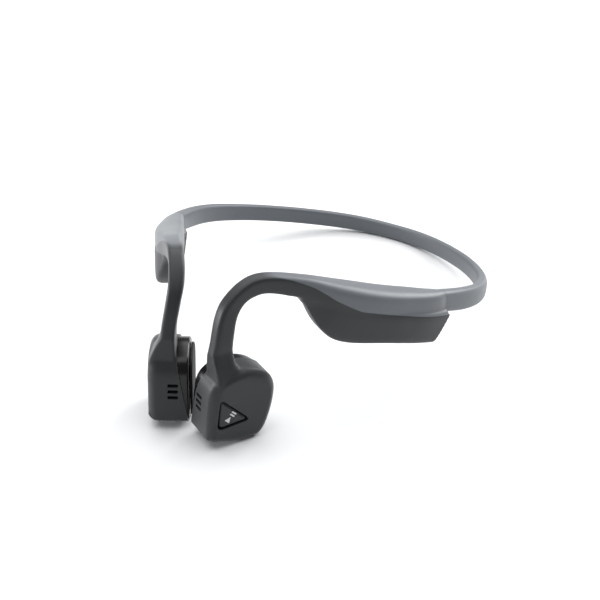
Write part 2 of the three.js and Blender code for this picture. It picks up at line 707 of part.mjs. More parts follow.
function addMultifunctionButton(pod) {
  const cap = slab(roundedPolygon(buttonOutline, CAP_ROUNDING), BUTTON_BACK, POD_OUTER - BUTTON_RECESS);
  add(pod, 1, 'multifunction_button', cap, charcoalPlastic);
  add(pod, 1, 'button_dome', disc(DOME_RADIUS, ...DOME).translate(0, ...BUTTON_CENTRE), steel);
  add(pod, 1, 'button_board', block(...BUTTON_BOARD), board);
}

/** A frame in the box, tilted along it, with +Z square to its underside. */
const boxFrame = (side) => frameAt(side, BOX_RUN, BOX_HEIGHT, BOX_SLOPE);

const fromBox = (() => {
  const frame = boxFrame(1);
  frame.updateMatrix();
  return frame.matrix;
})();

/** A pill-shaped plug square to the box's underside, between two heights in the box's frame. */
function post([lateral, rear], length, width, low, high) {
  const geometry = new THREE.ExtrudeGeometry(pill(length, width), {
    depth: high - low, bevelEnabled: false, curveSegments: 4,
  });
  return geometry.rotateZ(Math.PI / 2).translate(lateral, rear, low);
}

function addBattery() {
  add(headphones, 1, 'battery_box_shell', surface(boxShell()), charcoalPlastic);
  add(headphones, 1, 'battery_box_cover', boxCover(), charcoalPlastic);
  const frame = boxFrame(1);
  headphones.add(frame);
  const cell = slab(roundedPolygon(CELL_CORNERS, CELL_ROUNDING), ...CELL_LATERALS, GAP);
  add(frame, 1, 'battery_cell', cell, foil);
  add(frame, 1, 'battery_board', block(...BATTERY_BOARD), board);
  add(frame, 1, 'battery_foam', block(...BATTERY_FOAM), padRubber);
}

const INSIDE = UNDERSIDE + BOX_WALL; // height of the underside's inner face in the box's frame

/** A metal can on the wall over the charging port, open downwards. */
function chargingSocket() {
  const [length, width] = PORT_SIZE;
  const mouth = INSIDE + GAP;
  const can = (inwards, low, high) => solid(block(
    [CONTROL_LATERAL - width / 2 + inwards, SOCKET_REAR - length / 2 + inwards, low],
    [CONTROL_LATERAL + width / 2 - inwards, SOCKET_REAR + length / 2 - inwards, high],
  ));
  const outside = can(SOCKET_MARGIN, mouth, mouth + SOCKET_DEPTH);
  const hollow = can(SOCKET_MARGIN + SOCKET_WALL, mouth - 1, mouth + SOCKET_DEPTH - SOCKET_WALL);
  return surface(cut(outside, hollow));
}

/** The port's rubber lid, with a plug on it that fills the opening. */
function portCover() {
  const at = [CONTROL_LATERAL, SOCKET_REAR];
  const lid = solid(post(at, ...COVER_SIZE, UNDERSIDE, UNDERSIDE + COVER_DEPTH));
  const [length, width] = PORT_SIZE.map((size) => size - 2 * GAP);
  return surface(lid.add(solid(post(at, length, width, UNDERSIDE + GAP, INSIDE))));
}

function addVolumeButton(frame, name, rear) {
  const top = INSIDE + BUTTON_REACH;
  const cap = post([CONTROL_LATERAL, rear], ...VOLUME_SIZE, UNDERSIDE - BUTTON_PROUD, top);
  add(frame, -1, `${name}_button`, cap, glossBlack);
  const [width, length, height] = SWITCH_SIZE;
  const low = top + VOLUME_TRAVEL + SWITCH_GAP;
  add(frame, -1, `${name}_switch`, block(
    [CONTROL_LATERAL - width / 2, rear - length / 2, low],
    [CONTROL_LATERAL + width / 2, rear + length / 2, low + height],
  ), steel);
}

function addControls() {
  const hole = (rear, [length, width], depth) => solid(
    post([CONTROL_LATERAL, rear], length + 2 * GAP, width + 2 * GAP, UNDERSIDE - 2, UNDERSIDE + depth)
      .applyMatrix4(fromBox),
  );
  const pastWall = 3; // deeper than the wall is thick
  const shell = boxShell(
    ...VOLUME_RUNS.map((rear) => hole(rear, VOLUME_SIZE, pastWall)),
    hole(LAMP_REAR, [LAMP_SIZE, LAMP_SIZE], pastWall),
    hole(SOCKET_REAR, PORT_SIZE, pastWall),
    hole(SOCKET_REAR, COVER_SIZE, COVER_DEPTH + GAP),
  );
  add(headphones, -1, 'control_box_shell', surface(shell), charcoalPlastic);
  add(headphones, -1, 'control_box_cover', boxCover(), charcoalPlastic);

  const frame = boxFrame(-1);
  headphones.add(frame);
  addVolumeButton(frame, 'volume_up', VOLUME_RUNS[0]);
  addVolumeButton(frame, 'volume_down', VOLUME_RUNS[1]);
  const lampAt = [CONTROL_LATERAL, LAMP_REAR];
  const lens = post(lampAt, LAMP_SIZE, LAMP_SIZE, UNDERSIDE + BUTTON_RECESS, INSIDE + GAP);
  add(frame, -1, 'lamp_lens', lens, foil);
  add(frame, -1, 'main_board', block(...MAIN_BOARD), board);
  add(frame, -1, 'radio_shield', block(...RADIO_SHIELD), foil);
  add(frame, -1, 'charging_socket', chargingSocket(), steel);
  add(frame, -1, 'charging_port_cover', portCover(), padRubber);
}

addNeckband();
addArm(-1, 'right');
addMultifunctionButton(addArm(1, 'left'));
addBattery();
addControls();

export default headphones;
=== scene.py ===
import math

import bmesh
import bpy
import numpy as np
from mathutils import Matrix, Vector


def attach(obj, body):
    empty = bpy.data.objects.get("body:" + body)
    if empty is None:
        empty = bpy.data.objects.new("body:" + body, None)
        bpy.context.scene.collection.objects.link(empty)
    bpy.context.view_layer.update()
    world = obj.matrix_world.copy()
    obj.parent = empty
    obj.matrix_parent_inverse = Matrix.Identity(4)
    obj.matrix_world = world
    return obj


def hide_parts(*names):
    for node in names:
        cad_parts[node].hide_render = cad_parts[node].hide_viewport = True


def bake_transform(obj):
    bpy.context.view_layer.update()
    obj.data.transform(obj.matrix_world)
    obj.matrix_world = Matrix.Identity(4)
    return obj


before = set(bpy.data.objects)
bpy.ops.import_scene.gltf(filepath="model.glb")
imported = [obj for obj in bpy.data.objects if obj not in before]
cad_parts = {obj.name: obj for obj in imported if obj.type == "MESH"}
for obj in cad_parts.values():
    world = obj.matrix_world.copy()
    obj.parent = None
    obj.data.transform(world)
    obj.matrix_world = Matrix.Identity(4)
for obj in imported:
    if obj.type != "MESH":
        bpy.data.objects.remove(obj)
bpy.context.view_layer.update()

MM = 0.001

# ------------------------------------------------------------------ driving dimensions, in millimetres

# A run is a length along the loop from its left front end, and a lateral is an offset outwards from it.

LOOP_LEFT = [  # the loop in plan, from its left front end to the middle of its back
    (6.1, 1.6), (9.5, 8.0), (16.1, 18.8), (25.6, 32.8), (35.8, 47.5), (42.8, 60.8), (46.9, 80.3),
    (43.2, 98.3), (31.7, 116.3), (15.7, 128.2), (0, 131.7),
]
ORIGIN_Y = 65.56

BAND_EDGES = [  # (run, height of the lower edge, height of the upper edge)
    (60, 23.8, 29.9), (70.3, 20.4, 26.6), (80, 17.0, 23.5), (92, 13.5, 19.7), (112, 8.0, 13.7),
    (137, 2.6, 8.1), (167, 0, 5.2),
]
BAND_WIDTHS = [  # (run, inner lateral, outer lateral)
    (60, -2.1, 2.4), (70.3, -1.9, 2.2), (80, -1.7, 1.9), (95, -1.6, 1.6), (170, -1.6, 1.6),
]
SEAM_RUN = 70.3  # where the arm's skin ends and the band's begins
NOSE_RUN = 24.6  # where the box's front end meets the hook
# The line between the dark hook and the light strip: (run, share of the hook's height).
TONE_LINE = [
    (10, 1.3), (15, 1.03), (18.5, 0.95), (21.5, 0.88), (24.5, 0.79), (27.8, 0.68), (31, 0.5), (33.2, 0.35),
    (36, 0.22), (38.7, 0.1), (41, 0.0), (43, -0.2),
]
HINGE_RUN = 126
BEND = 15  # how far each side of a flexing point the band bends
RUBBER_SQUARENESS = 4.2
BAND_SQUARENESS = (4.2, 4.2, 2.6)  # of its lower half, upper inner corner and upper outer corner
WIRE_RADIUS = 0.5
WIRE_LATERAL = -0.8  # from the middle of the hook
LEAD_RADIUS = 0.4
CORE_RISE = 0.95  # how far the wire lies above the band's middle, and the lead below it

# Upper and lower lines are rows of (run, height), and widths are rows of (share, inner lateral, outer
# lateral), with the share counted along those lines.
HOOK_TOP = [
    (0.4, 27.3), (2.3, 34.1), (4.9, 38.6), (9.9, 42.7), (15.5, 43.8), (25.6, 41.6), (36.4, 37.7),
    (47.4, 33.8), (59.2, 30.0), (70, 26.7),
]
HOOK_UNDER = [
    (5.9, 27.3), (7.4, 33.8), (9.6, 37.2), (12.4, 38.7), (16.2, 38.9), (24.1, 36.4), (34.5, 32.3),
    (45.6, 28.6), (57.6, 24.6), (70, 20.5),
]
HOOK_WIDTHS = [
    (0, -1.8, 1.9), (0.11, -2.8, 1.0), (0.22, -3.5, 0.5), (0.44, -3.1, 1.2), (0.56, -2.3, 2.6),
    (0.67, -3.1, 4.4), (0.78, -3.4, 4.8), (0.89, -3.4, 3.8), (0.96, -2.6, 2.8), (1, -1.9, 2.2),
]

BOX_TOP = [(25.9, 35.2), (34.4, 31.9), (45.5, 28.2), (57.5, 24.3), (71.1, 20.1)]
BOX_BOTTOM = [(25.8, 34.1), (30.2, 26.1), (36.4, 21.5), (50.5, 17.6), (65.9, 12.7)]
BOX_WIDTHS = [(0, -2.0, 2.2), (0.25, -2.7, 4.3), (0.5, -3.4, 4.9), (0.8, -3.4, 4.6), (1, -2.9, 3.5)]
BOX_SQUARENESS = 5.5
BOX_OVERLAP = 1.3  # how far the box reaches up into the hook
# The lump between the hook and the box's front end: (start, end) of its lower and of its upper line.
ROOT_LOWER = ((26.6, 32.6), (22.9, 37.4))
ROOT_UPPER = ((29.4, 34.4), (27.0, 38.2))
BOX_WALL = 1.1
BOX_COVER = 0.9
COVER_MARGIN = 0.012  # between the cavity's ends and the cover's, as a share of the box
BOX_CAVITY = (0.24, 0.93)
BOX_RUN = 49
BOX_HEIGHT = 22.8
BOX_SLOPE = 0.29

POD_RUN = 7
POD_OUTLINE = [
    (-9.5, 4.0), (-9.0, 2.7), (-7.6, 1.9), (-4.0, 0.8), (0.2, 0), (4.4, 0), (6.2, 1.1), (7.7, 3.6),
    (9.0, 8.0), (9.6, 12.0), (9.4, 15.0), (8.0, 17.8), (5.0, 20.1), (1.4, 21.4), (-2.4, 21.3),
    (-6.2, 20.1), (-8.5, 17.2), (-9.3, 12.0),
]
POD_OUTER = 5.4
POD_WALL = 1.3
POD_EDGE = 1.9
CHAMFER_POWER = 1.45  # 1 is a flat chamfer and 2 a round edge
RIM_AT_GROUND = -5.4
RIM_SLOPE = 0.183
RIM_TOP = 21.8
NECK_FRONT = [(-2.4, 12.6), (-2.0, 18.6), (-1.0, 23.0), (0.32, 27.0)]
NECK_REAR = [(11.5, 14.5), (8.0, 19.6), (6.2, 23.0), (5.85, 27.0)]
NECK_WIDTHS = [(0, -2.4, 5.4), (0.3, -2.0, 5.1), (0.62, -1.8, 3.7), (1, -1.8, 1.9)]

# The arm's skin: the size of its voxels, and where it is smoothed to a fillet.
SKIN_VOXEL = 0.26
SKIN_SMOOTHING = 7
POD_FILLETS = [  # (rearwards, height, reach)
    (0.9, 21.6, 3.6), (2.4, 18.8, 3.4), (3.6, 16.4, 3.0), (-8.6, 17.0, 3.0), (-8.6, 20.0, 3.0),
]
NOSE_FILLET = (24.8, 35.0, 5.0)  # (run, height, reach)
SEAM_FILLET = [(24, 0), (27, 1), (38, 1), (44, 0.25), (69, 0)]  # (run, strength)
SEAM_REACH = 2.2
FILLET_STRENGTH = 1.6
FILLET_PASSES = 70

SLOT_COUNT = 3
SLOT_HEIGHT = 11.9
SLOT_PITCH = 1.72
SLOT_SIZE = (2.65, 0.95)
SLOT_ROUNDING = 0.25
SLOT_LATERAL = -1.0

BUTTON_CORNERS = [(-6.6, 15.8), (2.2, 6.7), (-7.5, 6.1)]
BUTTON_ROUNDING = 2.0
BUTTON_CENTRE = (-3.7, 9.4)
CAP_INSET = 0.9
CAP_ROUNDING = 1.3
CAP_BACK = 3.6
CAP_DEPTH = 0.2  # how far the cap's face lies below the pod's
CAP_EDGE = 0.45

MOTOR_CENTRE = (0.4, 10.8)
MOTOR_SLOPE = 0.02
CAPSULE_FACE = -1.6
CAPSULE_INSET = 0.5
CAPSULE_EDGE = 0.6
CAPSULE_WALL = 1.2
CAPSULE_FLOOR = 0.9
BORE_RADIUS = 2.3
PAD_BACK = -1.9
PAD_FACE = -2.5
PAD_INSET = 1.9
PAD_EDGE = 0.5
BOSS_RADIUS = 1.9

UNDERSIDE = -5.1
CONTROL_LATERAL = 0.75
VOLUME_RUNS = (-1.2, -8.2)
VOLUME_SIZE = (5.2, 2.0)
LAMP_REAR = -12.2
LAMP_SIZE = 1.2
SOCKET_REAR = 7.0
PORT_SIZE = (7.4, 2.4)
COVER_SIZE = (8.8, 3.4)
COVER_DEPTH = 0.6
GAP = 0.3

# ------------------------------------------------------------------ curves


def spline(points, t, closed=False):
    """Points on a uniform Catmull-Rom spline at shares t of its length in knots."""
    p = np.asarray(points, float)
    n = len(p)
    t = np.asarray(t, float)
    x = t * (n if closed else n - 1)
    i = np.floor(x).astype(int)
    if not closed:
        i = np.clip(i, 0, n - 2)
    w = (x - i)[..., None]
    pick = (lambda k: p[k % n]) if closed else (lambda k: p[np.clip(k, 0, n - 1)])
    p0, p1, p2, p3 = pick(i - 1), pick(i), pick(i + 1), pick(i + 2)
    v0, v1 = (p2 - p0) / 2, (p3 - p1) / 2
    return (2 * p1 - 2 * p2 + v0 + v1) * w**3 + (-3 * p1 + 3 * p2 - 2 * v0 - v1) * w**2 + v0 * w + p1


def through(rows, where):
    """A smooth function of one number through rows of (where, value, value, ...)."""
    rows = np.asarray(rows, float)
    xs, ys = rows[:, 0], rows[:, 1:]
    where = np.clip(np.asarray(where, float), xs[0], xs[-1])
    i = np.clip(np.searchsorted(xs, where, side="right"), 1, len(xs) - 1)
    t0, t1 = xs[i - 1], xs[i]
    before = np.where(i >= 2, xs[np.maximum(i - 2, 0)], 2 * t0 - t1)
    after = np.where(i < len(xs) - 1, xs[np.minimum(i + 1, len(xs) - 1)], 2 * t1 - t0)
    prev = np.where(i >= 2, i - 2, i)
    follow = np.where(i < len(xs) - 1, i + 1, i - 1)
    half = (t1 - t0) / 2
    wp, wn = half / (t0 - before), half / (after - t1)
    p = (where - t0) / (t1 - t0)
    pp, ppp = p * p, p * p * p
    sp = -wp * ppp + 2 * wp * pp - wp * p
    s0 = (1 + wp) * ppp + (-1.5 - 2 * wp) * pp + (-0.5 + wp) * p + 1
    s1 = (-1 - wn) * ppp + (1.5 + wn) * pp + 0.5 * p
    sn = wn * ppp - wn * pp
    weights = (sp, s0, s1, sn)
    knots = (prev, i - 1, i, follow)
    return sum(weight[..., None] * ys[knot] for weight, knot in zip(weights, knots))


LOOP = LOOP_LEFT + [(-x, y) for x, y in reversed(LOOP_LEFT[:-1])]
_steps = np.linspace(0, 1, 6001)
_line = spline(LOOP, _steps)
_lengths = np.concatenate([[0], np.cumsum(np.linalg.norm(np.diff(_line, axis=0), axis=1))])
LOOP_LENGTH = _lengths[-1]


def plan_at(run):
    """The plan line's point and direction at a run, in the left arm's own half."""
    run = np.asarray(run, float)
    t = np.interp(run, _lengths, _steps)
    lo, hi = np.clip(t - 1e-4, 0, 1), np.clip(t + 1e-4, 0, 1)
    along = spline(LOOP, hi) - spline(LOOP, lo)
    along /= np.linalg.norm(along, axis=-1, keepdims=True)
    return spline(LOOP, t), along


def place(lateral, run, height):
    """The points of the left arm at a lateral offset, a run and a height, in the object's frame."""
    point, along = plan_at(run)
    lateral, height = np.asarray(lateral, float), np.asarray(height, float)
    x = point[..., 0] + along[..., 1] * lateral
    y = point[..., 1] - along[..., 0] * lateral - ORIGIN_Y
    return np.stack(np.broadcast_arrays(x, y, height), axis=-1)


def pod_frame(points):
    """(lateral, rearwards, height) at the left pod to the object's frame."""
    p = np.asarray(points, float)
    (px, py), (tx, ty) = plan_at(POD_RUN)
    x = px + ty * p[..., 0] + tx * p[..., 1]
    y = py - tx * p[..., 0] + ty * p[..., 1] - ORIGIN_Y
    return np.stack([x, y, p[..., 2]], axis=-1)


def motor_frame(points):
    """(outwards, rearwards, upwards) from the transducer's centre to the object's frame."""
    p = np.asarray(points, float)
    rear, height = MOTOR_CENTRE
    tilt = math.atan(MOTOR_SLOPE)
    lateral = RIM_AT_GROUND + RIM_SLOPE * height + p[..., 0] * math.cos(tilt) + p[..., 2] * math.sin(tilt)
    up = height - p[..., 0] * math.sin(tilt) + p[..., 2] * math.cos(tilt)
    return pod_frame(np.stack([lateral, p[..., 1] + rear, up], axis=-1))


def box_frame(points):
    """(lateral, rearwards, upwards) from the box's middle, on its slope, to the object's frame."""
    p = np.asarray(points, float)
    (px, py), (tx, ty) = plan_at(BOX_RUN)
    tilt = math.atan(BOX_SLOPE)
    rear = p[..., 1] * math.cos(tilt) + p[..., 2] * math.sin(tilt)
    up = -p[..., 1] * math.sin(tilt) + p[..., 2] * math.cos(tilt) + BOX_HEIGHT
    x = px + ty * p[..., 0] + tx * rear
    y = py - tx * p[..., 0] + ty * rear - ORIGIN_Y
    return np.stack([x, y, up], axis=-1)


# ------------------------------------------------------------------ meshes

# Faces of a box given as two rings of four corners.
CUBE_FACES = [(0, 1, 2, 3), (7, 6, 5, 4), (0, 4, 5, 1), (1, 5, 6, 2), (2, 6, 7, 3), (3, 7, 4, 0)]


def mesh_object(name, verts, faces, side=1):
    """An object in millimetres, mirrored to the right for side -1, with its faces outwards."""
    verts = np.asarray(verts, float).reshape(-1, 3) * (side, 1, 1)
    mesh = bpy.data.meshes.new(name)
    mesh.from_pydata(verts.tolist(), [], [list(map(int, f)) for f in faces])
    bm = bmesh.new()
    bm.from_mesh(mesh)
    bmesh.ops.remove_doubles(bm, verts=bm.verts, dist=1e-5)
    bmesh.ops.recalc_face_normals(bm, faces=bm.faces)
    bm.to_mesh(mesh)
    bm.free()
    obj = bpy.data.objects.new(name, mesh)
    bpy.context.scene.collection.objects.link(obj)
    return obj


def ring_faces(rings, sides):
    """Quads between closed rings of points, with both ends closed."""
    faces = []
    for r in range(rings - 1):
        a, b = r * sides, (r + 1) * sides
        faces += [(a + k, a + (k + 1) % sides, b + (k + 1) % sides, b + k) for k in range(sides)]
    faces.append(tuple(range(sides))[::-1])
    faces.append(tuple(range((rings - 1) * sides, rings * sides)))
    return faces


def apply_modifiers(obj):
    """The object with its modifiers made into its mesh."""
    depsgraph = bpy.context.evaluated_depsgraph_get()
    mesh = bpy.data.meshes.new_from_object(obj.evaluated_get(depsgraph))
    obj.modifiers.clear()
    old = obj.data
    obj.data = mesh
    bpy.data.meshes.remove(old)
    return obj


def boolean(target, tools, operation="DIFFERENCE"):
    """The target after an operation with each tool, which are then gone."""
    for tool in tools:
        modifier = target.modifiers.new("cut", "BOOLEAN")
        modifier.object = tool
        modifier.operation = operation
        modifier.solver = "MANIFOLD"
    apply_modifiers(target)
    for tool in tools:
        bpy.data.objects.remove(tool)
    return target


def bevel(obj, width, angle=40, segments=3):
    modifier = obj.modifiers.new("edge", "BEVEL")
    modifier.width = width
    modifier.segments = segments
    modifier.limit_method = "ANGLE"
    modifier.angle_limit = math.radians(angle)
    modifier.harden_normals = False
    return apply_modifiers(obj)


def remesh(obj, voxel, smoothing):
    modifier = obj.modifiers.new("voxels", "REMESH")
    modifier.mode = "VOXEL"
    modifier.voxel_size = voxel
    apply_modifiers(obj)
    modifier = obj.modifiers.new("smooth", "SMOOTH")
    modifier.factor = 0.5
    modifier.iterations = smoothing
    return apply_modifiers(obj)


def soften(obj, weights, iterations):
    """Smooth the vertices by their weights."""
    group = obj.vertex_groups.new(name="soft")
    for index in np.nonzero(weights > 0.01)[0]:
        group.add([int(index)], float(weights[index]), "REPLACE")
    modifier = obj.modifiers.new("fillet", "SMOOTH")
    modifier.factor = 0.5
    modifier.iterations = iterations
    modifier.vertex_group = "soft"
    apply_modifiers(obj)
    obj.vertex_groups.clear()
    return obj


def coordinates(obj):
    found = np.empty(len(obj.data.vertices) * 3)
    obj.data.vertices.foreach_get("co", found)
    return found.reshape(-1, 3)


def developed(points, side, longest=75.0):
    """Lateral, run and height of points on an arm."""
    runs = np.linspace(0, longest, 900)
    line, along = plan_at(runs)
    flat = points[:, :2] * (side, 1) + (0, ORIGIN_Y)
    nearest = np.concatenate([
        np.argmin(((part[:, None] - line[None]) ** 2).sum(-1), axis=1) for part in np.array_split(flat, 60)
    ])
    offset = flat - line[nearest]
    ahead = along[nearest]
    run = runs[nearest] + (offset * ahead).sum(-1)
    return offset[:, 0] * ahead[:, 1] - offset[:, 1] * ahead[:, 0], run, points[:, 2]


def finished(obj, name, material, body, nodes=(), sharp=50):
    """The object in metres, with its material, riding on a body."""
    obj.name = name
    obj.data.name = name
    obj.data.transform(Matrix.Scale(MM, 4))
    obj.data.materials.clear()
    obj.data.materials.append(material)
    bm = bmesh.new()
    bm.from_mesh(obj.data)
    for face in bm.faces:
        face.smooth = True
    for edge in bm.edges:
        edge.smooth = len(edge.link_faces) == 2 and edge.calc_face_angle(0) < math.radians(sharp)
    bm.to_mesh(obj.data)
    bm.free()
    if nodes:
        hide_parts(*nodes)
    if body:
        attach(obj, body)
    return obj


def power(values, squareness):
    """Sines or cosines bent to a superellipse's: 2 is an ellipse, and more is squarer."""
    values = np.where(np.abs(values) < 1e-9, 0, values)
    return np.sign(values) * np.abs(values) ** (2 / squareness)


def loft(section, shares, sides, squareness, name="loft", side=1):
    """A closed loft along the loop. section(shares) gives lower, upper, inner and outer for each share, and
    squareness the powers of the section's lower half, upper inner corner and upper outer corner."""
    shares = np.asarray(shares, float)
    lower, upper, inner, outer = section(shares)
    angles = np.linspace(0, 2 * math.pi, sides, endpoint=False)
    if callable(squareness):
        squareness = squareness(shares)
    corners = squareness if isinstance(squareness, tuple) else (squareness,) * 3
    low, high_inner, high_outer = (np.broadcast_to(n, shares.shape)[:, None] for n in corners)
    s, c = np.sin(angles)[None, :], np.cos(angles)[None, :]
    n = np.where(c < 0, low, np.where(s < 0, high_inner, high_outer))
    across, up = power(s, n), power(c, n)
    lateral = inner[:, None] + (outer - inner)[:, None] * (across + 1) / 2
    rise = ((up + 1) / 2)[..., None]
    flat = lower[:, None, :] * (1 - rise) + upper[:, None, :] * rise
    verts = place(lateral, flat[..., 0], flat[..., 1])
    return mesh_object(name, verts, ring_faces(len(shares), sides), side)


def hook_section(share):
    widths = through(HOOK_WIDTHS, share)
    return spline(HOOK_UNDER, share), spline(HOOK_TOP, share), widths[:, 0], widths[:, 1]


def neck_section(share):
    widths = through(NECK_WIDTHS, share)
    return spline(NECK_REAR, share), spline(NECK_FRONT, share), widths[:, 0], widths[:, 1]


def box_section(share):
    widths = through(BOX_WIDTHS, share)
    return spline(BOX_BOTTOM, share), spline(BOX_TOP, share), widths[:, 0], widths[:, 1]


def box_hollow(share, wall, inner, outer):
    """The box's section with its top and bottom moved in by a wall, between two laterals."""
    lower, upper, _, _ = box_section(share)
    height = np.linalg.norm(upper - lower, axis=1, keepdims=True)
    return lower + (upper - lower) * wall / height, upper + (lower - upper) * wall / height, inner, outer


def band_edges(run):
    return through(BAND_EDGES, np.minimum(run, LOOP_LENGTH - run))


def band_section(run):
    edges, halves = band_edges(run), through(BAND_WIDTHS, run)
    return (np.stack([run, edges[:, 0]], -1), np.stack([run, edges[:, 1]], -1), halves[:, 0], halves[:, 1])


# ------------------------------------------------------------------ outlines in a side view


def smooth_outline(points, per_span=8):
    """A closed spline through points, as an outline with a few points to each span."""
    t = np.arange(len(points) * per_span) / (len(points) * per_span)
    return spline(points, t, closed=True)


def rounded_polygon(points, radius, segments=10):
    """A polygon's outline with each corner rounded, starting a radius away from it."""
    points = np.asarray(points, float)
    out = []
    for i, corner in enumerate(points):
        to_before, to_after = points[i - 1] - corner, points[(i + 1) % len(points)] - corner
        start = corner + to_before / np.linalg.norm(to_before) * radius
        end = corner + to_after / np.linalg.norm(to_after) * radius
        for k in range(segments + 1):
            t = k / segments
            out.append((1 - t) ** 2 * start + 2 * t * (1 - t) * corner + t * t * end)
    return np.array(out)


def spoke_inset(points, distance, centre=MOTOR_CENTRE):
    """Points moved straight towards a centre by a distance."""
    spokes = np.asarray(points, float) - centre
    return centre + spokes * (1 - distance / np.linalg.norm(spokes, axis=1, keepdims=True))


def normal_inset(points, distance):
    """A closed outline moved inwards, square to itself."""
    ahead, behind = np.roll(points, -1, axis=0), np.roll(points, 1, axis=0)
    run = ahead - behind
    run /= np.linalg.norm(run, axis=1, keepdims=True)
    area = np.sum(points[:, 0] * ahead[:, 1] - ahead[:, 0] * points[:, 1])
    inward = np.stack([-run[:, 1], run[:, 0]], -1) * np.sign(area)
    return points + inward * distance


def prism(points, levels, to_row, name="prism", side=1):
    """A side-view outline swept outwards through (lateral, inset) levels."""
    rings = []
    for lateral, inset in levels:
        ring = normal_inset(points, inset) if inset else points
        rings.append(np.column_stack([np.full(len(ring), lateral), ring]))
    return mesh_object(name, to_row(np.array(rings)), ring_faces(len(rings), len(points)), side)


def rounded_levels(inner, outer, inner_round=0.0, outer_round=0.0, steps=6):
    """Levels of a slab whose two edges are rounded."""
    turn = np.linspace(0, math.pi / 2, steps + 1)
    levels = []
    if inner_round:
        levels += [
            (inner + inner_round * (1 - math.sin(a)), inner_round * (1 - math.cos(a))) for a in turn[::-1]
        ]
    else:
        levels.append((inner, 0))
    if outer_round:
        levels += [(outer - outer_round * (1 - math.sin(a)), outer_round * (1 - math.cos(a))) for a in turn]
    else:
        levels.append((outer, 0))
    return levels


def pill(length, width, segments=12):
    """An outline with straight sides and round ends."""
    turn = np.linspace(-math.pi / 2, math.pi / 2, segments + 1)
    half = (length - width) / 2
    right = np.column_stack([half + width / 2 * np.cos(turn), width / 2 * np.sin(turn)])
    return np.vstack([right, -right])


def post(at, length, width, low, high, edge=0.0, side=-1):
    """A pill-shaped plug square to the box's underside, its lower edge rounded."""
    outline = pill(length, width)
    rings = []
    for height, inset in rounded_levels(low, high, inner_round=edge):
        ring = normal_inset(outline, inset) if inset else outline
        rings.append(np.column_stack([at[0] + ring[:, 1], at[1] + ring[:, 0], np.full(len(ring), height)]))
    return mesh_object("post", box_frame(np.array(rings)), ring_faces(len(rings), len(outline)), side)


def disc(radius, inner, outer, to_row, sides=48, name="disc", side=1):
    turn = np.linspace(0, 2 * math.pi, sides, endpoint=False)
    ring = np.column_stack([radius * np.cos(turn), radius * np.sin(turn)])
    return prism(ring, [(inner, 0), (outer, 0)], to_row, name, side)


def tube(points, radius, sides=10, name="tube", side=1):
    """A round tube through points in the object's frame."""
    points = np.asarray(points, float)
    tangents = np.gradient(points, axis=0)
    tangents /= np.linalg.norm(tangents, axis=1, keepdims=True)
    up = np.array([0.0, 0.0, 1.0])
    across = np.cross(tangents, up)
    across /= np.linalg.norm(across, axis=1, keepdims=True)
    over = np.cross(across, tangents)
    turn = np.linspace(0, 2 * math.pi, sides, endpoint=False)
    rings = points[:, None] + radius * (
        np.cos(turn)[None, :, None] * across[:, None] + np.sin(turn)[None, :, None] * over[:, None]
    )
    return mesh_object(name, rings, ring_faces(len(points), sides), side)


# ------------------------------------------------------------------ materials


def shader(name, color, roughness, metallic=0.0, specular=0.5, variation=0.06, grain=900.0, bump=0.04,
           rough_variation=0.06, sheen=0.0):
    """A Principled material whose colour, roughness and relief vary a little over the surface."""
    material = bpy.data.materials.new(name)
    material.use_nodes = True
    nodes, links = material.node_tree.nodes, material.node_tree.links
    principled = nodes["Principled BSDF"]
    principled.inputs["Metallic"].default_value = metallic
    principled.inputs["Specular IOR Level"].default_value = specular
    principled.inputs["Sheen Weight"].default_value = sheen
    principled.inputs["Sheen Roughness"].default_value = 0.4
    place_node = nodes.new("ShaderNodeTexCoord")
    cloud = nodes.new("ShaderNodeTexNoise")
    cloud.inputs["Scale"].default_value = 90.0
    cloud.inputs["Detail"].default_value = 3.0
    links.new(place_node.outputs["Object"], cloud.inputs["Vector"])
    tone = nodes.new("ShaderNodeMix")
    tone.data_type = "RGBA"
    tone.inputs["A"].default_value = (*[c * (1 - variation) for c in color], 1)
    tone.inputs["B"].default_value = (*[min(1, c * (1 + variation)) for c in color], 1)
    links.new(cloud.outputs["Fac"], tone.inputs["Factor"])
    links.new(tone.outputs["Result"], principled.inputs["Base Color"])
    fine = nodes.new("ShaderNodeTexNoise")
    fine.inputs["Scale"].default_value = grain
    fine.inputs["Detail"].default_value = 2.0
    links.new(place_node.outputs["Object"], fine.inputs["Vector"])
    rough = nodes.new("ShaderNodeMapRange")
    rough.inputs["To Min"].default_value = max(0.02, roughness - rough_variation)
    rough.inputs["To Max"].default_value = min(1, roughness + rough_variation)
    links.new(fine.outputs["Fac"], rough.inputs["Value"])
    links.new(rough.outputs["Result"], principled.inputs["Roughness"])
    relief = nodes.new("ShaderNodeBump")
    relief.inputs["Strength"].default_value = bump
    relief.inputs["Distance"].default_value = 0.0002
    links.new(fine.outputs["Fac"], relief.inputs["Height"])
    links.new(relief.outputs["Normal"], principled.inputs["Normal"])
    return material


